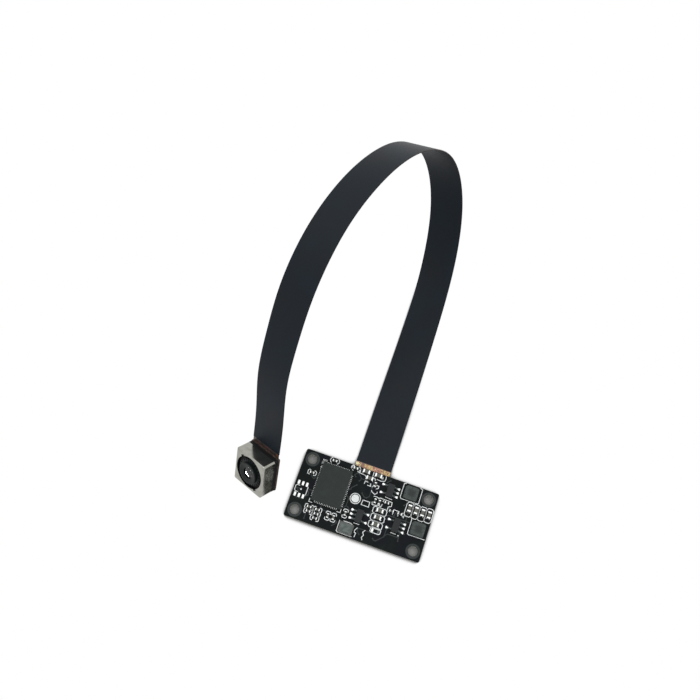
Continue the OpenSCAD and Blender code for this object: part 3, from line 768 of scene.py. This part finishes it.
class CAMERA_MODULE_OT_board(bpy.types.Operator):
    """Finishes the board, with its tracks, vias and soldered joints"""

    bl_idname = "camera_module.board"
    bl_label = "Board"

    SEED = 7
    HOLE_INSET = 2
    HOLE_LAND = (1.12, 1.65)
    HOLE_CLEAR = 2.2
    VIA_R = 0.17
    VIA_INSET = 0.6
    VIA_CLEAR = 0.7
    TRACK_W = 0.2
    TRACK_LONGEST = 4
    COPPER = (board_top + 0.002, board_top + 0.008)
    # A solder dome's outline moves in and rises by these steps, in mm and shares of its height.
    DOME = ((0.0, 0.0), (0.02, 0.35), (0.07, 0.75), (0.13, 1.0))
    # Solder under a regulator's foot: how far out from the pad's middle, and half how wide.
    TOE = ((-0.4, 0.14), (-0.05, 0.17), (0.2, 0.29), (0.5, 0.33), (0.62, 0.24), (0.66, 0.1))
    TOE_H = 0.16
    FOOT_PAD_L = 0.8
    FOOT_REACH = 2.1
    FINE_PAD_W = 0.22
    LARGE_PAD_L = 0.9
    # Solder up a chip's end: shares of its run outwards and of the chip's height.
    SLOPE = ((0.0, 0.5), (0.3, 0.3), (0.65, 0.12), (1.0, 0.0))
    # Each kind of chip: how far its end sticks out, and how far the solder runs on from there.
    CHIP_ENDS = (("capacitor_bodies", 0.35, 0.15), ("small_capacitor_bodies", 0.22, 0.09),
                 ("resistor_bodies", 0.22, 0.09))

    def execute(self, context):
        settings = context.scene.camera_module_board
        tin = tinned_copper()
        dress("circuit_board", solder_mask(settings))
        dress("lead_pads", tin)
        self.add_copper(settings.via_count)
        self.add_joints(tin)
        return {"FINISHED"}

    def add_copper(self, count):
        # Lacquered copper stands a little proud: lands round the holes, vias, and tracks that
        # leave each via at 45 degrees and then run straight to the next one.
        draw = random.Random(self.SEED)
        draft = Draft()
        low, high = self.COPPER
        inner, outer = self.HOLE_LAND
        x, y = board_high.x - self.HOLE_INSET, board_high.y - self.HOLE_INSET
        holes = [Vector((sx * x, sy * y)) for sx in (-1, 1) for sy in (-1, 1)]
        for hole in holes:
            draft.skin([[(*p, z) for p in circle(*hole, r, 40)] for r, z in (
                (inner, low), (inner, high), (outer, high), (outer, low))], closed=True)

        def clear(spot):
            return all((spot - hole).length > self.HOLE_CLEAR for hole in holes)

        inset = self.VIA_INSET
        vias = []
        while len(vias) < count:
            spot = Vector((draw.uniform(board_low.x + inset, board_high.x - inset),
                           draw.uniform(board_low.y + inset, board_high.y - inset)))
            if clear(spot) and all((spot - other).length > self.VIA_CLEAR for other in vias):
                vias.append(spot)
                draft.prism(circle(*spot, self.VIA_R, 12), low, high + 0.004)
        for i, spot in enumerate(vias[:-1]):
            other = min(vias[i + 1:], key=lambda v: (v - spot).length)
            step = other - spot
            reach = min(abs(step.x), abs(step.y))
            bend = spot + Vector((math.copysign(reach, step.x), math.copysign(reach, step.y)))
            line = [spot, bend, other] if 0.1 < reach < step.length - 0.2 else [spot, other]
            if step.length < self.TRACK_LONGEST and clear(bend):
                draft.stroke(line, self.TRACK_W, low, high)
        draft.piece("covered_tracks", covered_copper(), smooth=30)

    def add_joints(self, tin):
        """Solder on every pad: a low dome, and a slope up the end of each chip part."""
        draft = Draft()
        dull = Draft()
        package = sum(box_mm("image_processor"), Vector()) / 2
        regulators = [box_mm(node) for node in REGULATORS.split()]
        for low, high in solids("solder_pads"):
            size = high - low
            middle = (low + high) / 2
            near = [(a.x + b.x) / 2 for a, b in regulators
                    if abs(middle.x - (a.x + b.x) / 2) < self.FOOT_REACH
                    and a.y - 0.1 < middle.y < b.y + 0.1
                    and abs(size.x - self.FOOT_PAD_L) < 0.05]
            if near:
                away = math.copysign(1, middle.x - near[0])
                outline = [(middle.x + away * x, middle.y + y) for x, y in self.TOE]
                outline += [(middle.x + away * x, middle.y - y) for x, y in self.TOE[::-1]]
                self.dome(draft, outline if away < 0 else outline[::-1], low.z, self.TOE_H)
            elif min(size.x, size.y) < self.FINE_PAD_W:
                self.fine_joint(draft, middle, middle - package, size, low.z)
            else:
                unused = size.x > self.LARGE_PAD_L or (4 < middle.x < 5.5 and middle.y < -4)
                outline = rounded_box(middle.x, middle.y, size.x, size.y, 0.08, 3)
                self.dome(dull if unused else draft, outline, low.z, size.z + 0.015)
        self.add_slopes(draft)
        made = draft.piece("solder_joints", tin, smooth=60)
        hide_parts("solder_pads")
        dull.piece("oxidised_pads", dull_tin(), smooth=60)

    def fine_joint(self, draft, middle, off, size, foot):
        """Solder at one of the processor's leads: a toe at its end, and a strip along it."""
        sideways = size.x > size.y
        outward = Vector((math.copysign(1, off.x), 0, 0))
        if not sideways:
            outward = Vector((0, math.copysign(1, off.y), 0))
        toe = middle + outward * (max(size.x, size.y) / 2 - 0.14)
        strip = middle - outward * 0.1
        # The size, corner radius and steps, and height of each.
        for at, sides, radius, steps, height in (
                (toe, (0.2, 0.17), 0.06, 3, 0.05), (strip, (0.6, 0.16), 0.03, 2, 0.035)):
            outline = rounded_box(at.x, at.y, *(sides if sideways else sides[::-1]), radius, steps)
            self.dome(draft, outline, foot, height)

    def dome(self, draft, outline, foot, height):
        middle = sum((Vector(p) for p in outline), Vector((0, 0))) / len(outline)
        rings = []
        for inset, rise in self.DOME:
            ring = []
            for spot in outline:
                inward = middle - Vector(spot)
                step = min(inset, 0.8 * inward.length)
                ring.append((*(Vector(spot) + inward.normalized() * step), foot + rise * height))
            rings.append(ring)
        draft.skin(rings)

    def add_slopes(self, draft):
        for body, end, run in self.CHIP_ENDS:
            for middle, size, upright in chips(body):
                foot = middle.z - size.z / 2
                reach = (size.y if upright else size.x) / 2 + end
                half = 0.42 * (size.x if upright else size.y)
                for side in (-1, 1):
                    rings = []
                    for out, up in self.SLOPE:
                        along = side * (reach + out * run)
                        wide = half * (1 - 0.15 * out)
                        ends = [(along, -wide), (along, wide)]
                        if upright:
                            ends = [(b, a) for a, b in ends]
                        (a, b), (c, d) = [(middle.x + a, middle.y + b) for a, b in ends]
                        levels = foot - 0.01, foot + up * size.z
                        rings.append([(a, b, levels[0]), (a, b, levels[1]),
                                      (c, d, levels[1]), (c, d, levels[0])])
                    draft.skin(rings)


# ---- Printed lines ----

# Lines printed on the board. Each row is one line through its x,y places, in hundredths of a
# millimetre. The outlines stay open, as a printer draws them.
PRINTED_LINES = """
815,790 765,772 766,450 792,420 1185,425 1205,450 1205,770 1145,790
1168,72 1166,-260 1185,-286 1575,-282
-1155,575 -1155,675 -1065,675
-1160,-250 -1160,-330 -1080,-330
-490,-335 -410,-335 -410,-250
-360,-490 -360,-735 -330,-755 5,-755
-275,-478 -100,-478 -40,-510
70,-520 28,-590 34,-640 70,-645 62,-740
255,-515 212,-575 250,-630 220,-690 250,-745
-340,680 -255,662 -125,650
135,650 250,642 325,670 335,730 325,785
-440,790 -488,745 -486,695 -435,665
-285,760 -275,685
28,785 30,685
260,745 266,695
-10,105 150,107 157,-8 -18,-6 -10,105
-50,-445 85,-443
800,-373 925,-376
440,338 610,325
100,380 115,350 200,310 240,350 237,385
90,445 130,525 235,515 237,465 190,435
720,17 720,130 845,125 844,17
935,127 920,75 975,30 980,100
-105,460 -95,530 -30,525
-25,455 55,453 35,515
195,262 215,272 275,272 315,255 355,277 425,272
195,140 215,78 320,85 345,110 415,90 436,160
430,210 445,275 575,272 637,262 640,175 580,145 575,50
-1470,-55 -1535,-55 -1560,-85 -1560,-175 -1535,-205 -1470,-205
-1280,-30 -1280,-230
"""


class CAMERA_MODULE_OT_printing(bpy.types.Operator):
    """Prints the white outlines round the parts"""

    bl_idname = "camera_module.printing"
    bl_label = "Printed lines"

    INK = (board_top + 0.012, board_top + 0.026)
    # The row with the corner mark of the processor, which is drawn twice as wide.
    CORNER_MARK = 2
    # Places, then radii or sides.
    DOTS = ((9.85, -3.87, 0.15), (-11.6, 5.0, 0.14), (-14.2, -1.3, 0.2), (-1.87, 0.78, 0.92))
    RING = (-1.87, 0.78, 1.17)
    SQUARES = ((-0.35, -5.75, 0.26), (-0.4, -6.9, 0.26))
    # Length, width and corner cut of the outlines round the capacitors, upright and lying.
    TALL_OUTLINE = (1.62, 3.25, 0.38)
    WIDE_OUTLINE = (3.2, 1.52, 0.32)
    # The outline round two bare pads, with its place first.
    PAIR_OUTLINE = (4.7, -4.5, 2.35, 1.2, 0.25)
    SQUARE_BRACKET = [(0.42, 0.52), (0.8, 0.52), (0.98, 0.32), (0.98, -0.32), (0.8, -0.52),
                      (0.42, -0.52)]
    ROUND_BRACKET = arc(0.45, 0, 0.62, 70, -70, 8)

    def execute(self, context):
        width = context.scene.camera_module_board.ink_width / MM
        ink = Draft()

        def draw(line, closed=False):
            ink.stroke(line, width, *self.INK, closed)

        lines = [[[int(part) / 100 for part in spot.split(",")] for spot in row.split()]
                 for row in PRINTED_LINES.strip().split("\n")]
        for line in lines:
            draw(line)
        ink.stroke(lines[self.CORNER_MARK], 2 * width, *self.INK)
        for middle, size, upright in chips("small_capacitor_bodies") + chips("resistor_bodies"):
            if middle.x < 0:
                self.add_brackets(draw, middle.xy, upright)
        for middle, size, upright in chips("capacitor_bodies"):
            x, y = middle.xy
            if x > 9:
                stagger = 0.12 if round(x * 10) % 3 else 0.0
                draw(rounded_box(x, y - 0.25 + stagger, *self.TALL_OUTLINE, 1), True)
            elif x > 2:
                draw(rounded_box(x + 0.03, y - 0.08, *self.WIDE_OUTLINE, 1), True)
            elif y < 7:
                draw([(x - 1.1, 6.45), (x - 0.85, 6.05), (x - 0.3, 6.18)])
                draw([(x + 0.3, 6.65), (x + 1.3, 6.45), (x + 1.4, 6.05)])
        draw(rounded_box(*self.PAIR_OUTLINE, 1), True)
        for dot in self.DOTS:
            ink.prism(circle(*dot, 12), *self.INK)
        for x, y, side in self.SQUARES:
            ink.prism(rounded_box(x, y, side, side, 0.03, 2), *self.INK)
        draw(circle(*self.RING, 36), True)
        ink.piece("board_printing", white_ink())
        return {"FINISHED"}

    def add_brackets(self, draw, middle, upright):
        """A bracket at each end of a small chip part, round for those by the ribbon's edge."""
        spin = Matrix.Rotation(math.radians(90 if upright else 0), 2)
        half = self.ROUND_BRACKET if middle.y > 7 else self.SQUARE_BRACKET
        for side in (-1, 1):
            draw([spin @ Vector((side * a, b)) + middle for a, b in half])


# ---- Parts on the board ----


class CAMERA_MODULE_OT_board_parts(bpy.types.Operator):
    """Finishes the processor, regulators, inductors, crystal and chip parts"""

    bl_idname = "camera_module.board_parts"
    bl_label = "Parts on the board"

    def execute(self, context):
        tin = tinned_copper()
        ceramic = chip_ceramic("Capacitor_ceramic", "#4a4a3e", "#3c3c34")
        dress("image_processor", moulded_epoxy("Processor_epoxy", "#19211f", "#202a27"), 0.05)
        dress("processor_leads inductor_terminals", tin)
        dress(REGULATORS, moulded_epoxy("Regulator_epoxy", "#15181a", "#1d2122"), 0.04)
        dress("regulator_leads", dull_tin(), 0.02)
        for node in ("upper_inductor", "lower_inductor"):
            dress(node, ferrite(node), 0.05)
        dress("crystal_base", chip_ceramic("Crystal_ceramic", "#3d3a36", "#2d2a27"), 0.03)
        dress("crystal_can", nickel_lid(), 0.06)
        dress("capacitor_bodies", ceramic, 0.04)
        dress("small_capacitor_bodies", ceramic, 0.03)
        dress("resistor_bodies", chip_ceramic("Resistor_glaze", "#23282a", "#1a1d1f"), 0.03)
        dress("capacitor_ends small_capacitor_ends resistor_ends", tin, 0.04)
        return {"FINISHED"}


# ---- Camera head ----


class CAMERA_MODULE_OT_head(bpy.types.Operator):
    """Makes the camera head's drawn can, and finishes what it holds"""

    bl_idname = "camera_module.head"
    bl_label = "Camera head"

    CORNER_R = 0.5
    NOTCHES = (127, 305)
    NOTCH_R = 4.3
    NOTCH_W = 0.9
    # The window's lip, from the front face in: how far out from the window, and how far down.
    LIP = ((0.14, 0.0), (0.07, 0.015), (0.02, 0.05), (0.0, 0.11))
    FOOT_CUT = 0.03
    INNER_CUT = 0.2

    def execute(self, context):
        self.add_can(context.scene.camera_module_head)
        dress("stiffener_plate", rolled_sheet("Rolled_steel", "#a9a9a2", "#8a8a86", 0.35), 0.03)
        dress("sensor_board", sensor_laminate(), 0.03)
        dress("image_sensor", sensor_silicon())
        dress("sensor_holder actuator_base spacer_frame",
              black_moulding("Black_moulding", "#131315", 0.5), 0.03)
        dress("infrared_filter", coated_glass("Filter_glass", "#b9cfd4", 0.03))
        dress("actuator_terminals", gold_plate())
        # Painted shade: the springs get a near-black bronze, for the shade in the gap between the
        # barrel and the can.
        dress("lower_spring upper_spring",
              rolled_sheet("Spring_bronze_painted_shade", "#2e2b28", "#24211f", 0.5))
        dress("focus_magnets", rolled_sheet("Magnet_nickel", "#96999a", "#8a8c8c", 0.3), 0.03)
        return {"FINISHED"}

    def add_can(self, settings):
        low, high = head_box("shield_can")
        half = (high.x - low.x) / 2
        window_r = settings.window_d / MM / 2
        roll = settings.edge_roll / MM
        wall = high.z - head_box("spacer_frame")[1].z
        angles = self.can_angles(window_r)

        def ring(reach, z):
            return [(r * math.cos(a), r * math.sin(a), z) for r, a in zip(reach, angles)]

        def window(out, z):
            return ring([self.window_reach(a, window_r) + out for a in angles], z)

        def square(inset, z):
            radius = max(self.CORNER_R - inset, 0.1)
            return ring([rounded_reach(a, half - inset, radius) for a in angles], z)

        rings = [square(self.FOOT_CUT, low.z), square(0, low.z + self.FOOT_CUT)]
        for a in range(0, 91, 15):
            rings.append(square(roll * (1 - math.cos(math.radians(a))),
                                high.z - roll * (1 - math.sin(math.radians(a)))))
        rings += [window(out, high.z - down) for out, down in self.LIP]
        rings += [window(0, high.z - wall), square(wall + self.INNER_CUT, high.z - wall),
                  square(wall, high.z - wall - self.INNER_CUT), square(wall, low.z)]
        draft = Draft(head)
        draft.skin(rings, closed=True)
        made = draft.piece("drawn_can", drawn_nickel_silver(), smooth=35)
        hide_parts("shield_can")

    def can_angles(self, window_r):
        """Directions round the can, closer at its corners and at the window's notches."""
        turns = list(range(0, 360, 3)) + [k * 90 + a for k in range(4) for a in range(41, 50)]
        for notch in self.NOTCHES:
            for reach in (window_r, self.NOTCH_R):
                edge = math.degrees(math.asin(self.NOTCH_W / 2 / reach))
                turns += [notch - edge, notch + edge]
        return [math.radians(a) for a in sorted(set(turns))]

    def window_reach(self, angle, window_r):
        for notch in self.NOTCHES:
            off = abs(angle - math.radians(notch))
            if off < math.asin(self.NOTCH_W / 2 / self.NOTCH_R) + 0.001:
                return self.NOTCH_R / math.cos(off)
        return window_r


class CAMERA_MODULE_OT_lens(bpy.types.Operator):
    """Makes the smooth front lens, and finishes the others and the carrier that moves them"""

    bl_idname = "camera_module.lens"
    bl_label = "Lens"

    OPTICAL_R = 1.5
    FRONT_SAG = 0.27
    BACK_SAG = 0.1
    DOME_STEPS = 12
    ROUND = 64
    # The strip lamp: the two points of the glass that its ends shine on, and its own place.
    STRIP_ENDS = ((-0.8, -0.08), (0.44, -0.86))
    STRIP_AWAY = 8
    STRIP_W = 0.7
    STRIP_POWER = 0.004

    def execute(self, context):
        dress("lens_barrel lens_spacers lens_retainer",
              black_moulding("Barrel_moulding", "#101817", 0.4))
        dress("lens_carrier", black_moulding("Carrier_moulding", "#0e1011", 0.55))
        dress("focus_coil", coil_wire())
        dress("middle_lens", coated_glass("Middle_glass", "#c9d0d6", 0.02))
        dress("rear_lens", coated_glass("Rear_glass", "#c9d0d6", 0.02))
        self.add_strip(context.scene.camera, self.add_front_lens())
        return {"FINISHED"}

    def add_front_lens(self):
        low, high = head_box("front_lens")
        rim = (high.x - low.x) / 2
        seat = high.z - self.FRONT_SAG
        shares = [i / self.DOME_STEPS for i in range(self.DOME_STEPS + 1)]
        outer, inner = ([(self.OPTICAL_R * max(t, 0.01), level + sag * (1 - t * t))
                         for t in shares]
                        for level, sag in ((seat, self.FRONT_SAG), (low.z, self.BACK_SAG)))
        profile = outer + [(rim, seat), (rim, low.z)] + inner[::-1]
        draft = Draft(head)
        draft.skin([[(*p, z) for p in circle(0, 0, r, self.ROUND)] for r, z in profile[::-1]])
        # Painted shade: the front glass is tinted dark, for the shade inside the barrel behind it.
        # The tint also dims the strip lamp's reflection from its back face.
        made = draft.piece("front_glass", coated_glass("Front_glass_painted_shade", "#39463f", 0.03),
                           body="lens", smooth=30)
        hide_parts("front_lens")
        return made

    def add_strip(self, camera, front):
        # A narrow strip lamp that only the front lens catches, where the lens mirrors it.
        top = head_box("front_lens")[1].z
        eye = camera.location / MM
        curve = 2 * self.FRONT_SAG / self.OPTICAL_R ** 2
        ends = []
        for x, y in self.STRIP_ENDS:
            spot = head @ Vector((x, y, top - curve / 2 * (x * x + y * y)))
            normal = (head.to_3x3() @ Vector((curve * x, curve * y, 1))).normalized()
            view = (eye - spot).normalized()
            ends.append(spot + self.STRIP_AWAY * (2 * view.dot(normal) * normal - view))
        middle = (ends[0] + ends[1]) / 2
        along = ends[1] - ends[0]
        back = (middle - head @ Vector((0, 0, top))).normalized()
        side = back.cross(along).normalized()
        turn = Matrix((along.normalized(), side, along.normalized().cross(side)))
        strip = area_lamp("Lens_strip", (along.length * MM, self.STRIP_W * MM), self.STRIP_POWER)
        strip.matrix_world = Matrix.Translation(middle * MM) @ turn.transposed().to_4x4()
        strip.visible_camera = False
        lit = bpy.data.collections.new("Lit_by_strip")
        lit.objects.link(front)
        strip.light_linking.receiver_collection = lit


# ---- Panel and registration ----


class CAMERA_MODULE_PT_panel(bpy.types.Panel):
    """Lists the camera module's steps and settings"""

    bl_idname = "CAMERA_MODULE_PT_panel"
    bl_label = "Camera module"
    bl_space_type = "VIEW_3D"
    bl_region_type = "UI"
    bl_category = "Camera module"

    def draw(self, context):
        for step in STEPS:
            self.layout.operator(step.bl_idname)
        for name in SETTINGS:
            box = self.layout.box()
            group = getattr(context.scene, name)
            for key in group.bl_rna.properties.keys():
                if key not in ("rna_type", "name"):
                    box.prop(group, key)


STEPS = [
    CAMERA_MODULE_OT_stage, CAMERA_MODULE_OT_ribbon, CAMERA_MODULE_OT_board,
    CAMERA_MODULE_OT_printing, CAMERA_MODULE_OT_board_parts, CAMERA_MODULE_OT_head,
    CAMERA_MODULE_OT_lens,
]
SETTINGS = {
    "camera_module_board": BoardSettings,
    "camera_module_ribbon": RibbonSettings,
    "camera_module_head": HeadSettings,
    "camera_module_stage": StageSettings,
}


def register():
    for group in SETTINGS.values():
        bpy.utils.register_class(group)
    for name, group in SETTINGS.items():
        setattr(bpy.types.Scene, name, bpy.props.PointerProperty(type=group))
    for step in STEPS + [CAMERA_MODULE_PT_panel]:
        bpy.utils.register_class(step)


def unregister():
    for step in [CAMERA_MODULE_PT_panel] + STEPS[::-1]:
        bpy.utils.unregister_class(step)
    for name, group in SETTINGS.items():
        delattr(bpy.types.Scene, name)
        bpy.utils.unregister_class(group)


def main():
    register()
    for step in STEPS:
        area, name = step.bl_idname.split(".")
        getattr(getattr(bpy.ops, area), name)()


if __name__ == "__main__":
    main()
